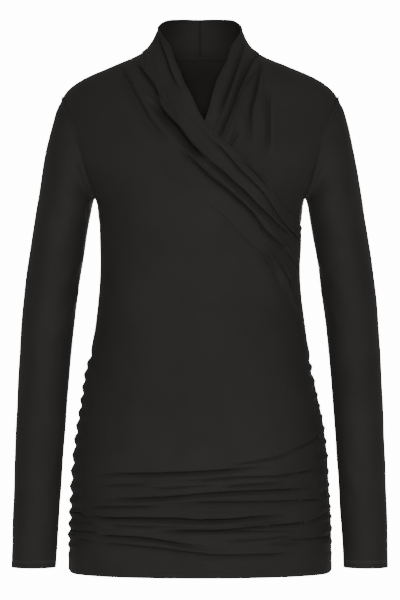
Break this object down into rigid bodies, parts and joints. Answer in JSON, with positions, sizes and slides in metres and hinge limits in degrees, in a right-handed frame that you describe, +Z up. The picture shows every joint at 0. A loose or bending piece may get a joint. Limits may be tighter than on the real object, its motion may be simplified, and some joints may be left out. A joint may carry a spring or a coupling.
{
  "type": "long-sleeve wrap top",
  "caption": "Long-sleeve jersey wrap top with a stand collar, crossed fronts gathered at one side seam and soft gathers over the hips, hollow as when worn.",
  "frame": {"origin": "where the wearer's shoulders hold the top: on the body's middle line, at the height of the base of the neck", "axes": "+Z up along the body, +X to the wearer's left, -Y to the front"},
  "size_m": [0.505, 0.2424, 0.749],
  "materials": {
    "jersey_outer": "matt off-black fine cotton jersey with a faint soft sheen",
    "jersey_under": "matt off-black fine cotton jersey with a faint soft sheen",
    "jersey_back": "matt off-black fine cotton jersey with a faint soft sheen",
    "jersey_sleeve": "matt off-black fine cotton jersey with a faint soft sheen"
  },
  "bodies": {
    "root": {"front_outer": "jersey_outer", "front_under": "jersey_under", "back": "jersey_back", "sleeve_right_upper": "jersey_sleeve", "sleeve_right_lower": "jersey_sleeve", "sleeve_left_upper": "jersey_sleeve", "sleeve_left_lower": "jersey_sleeve"}
  },
  "joints": []
}
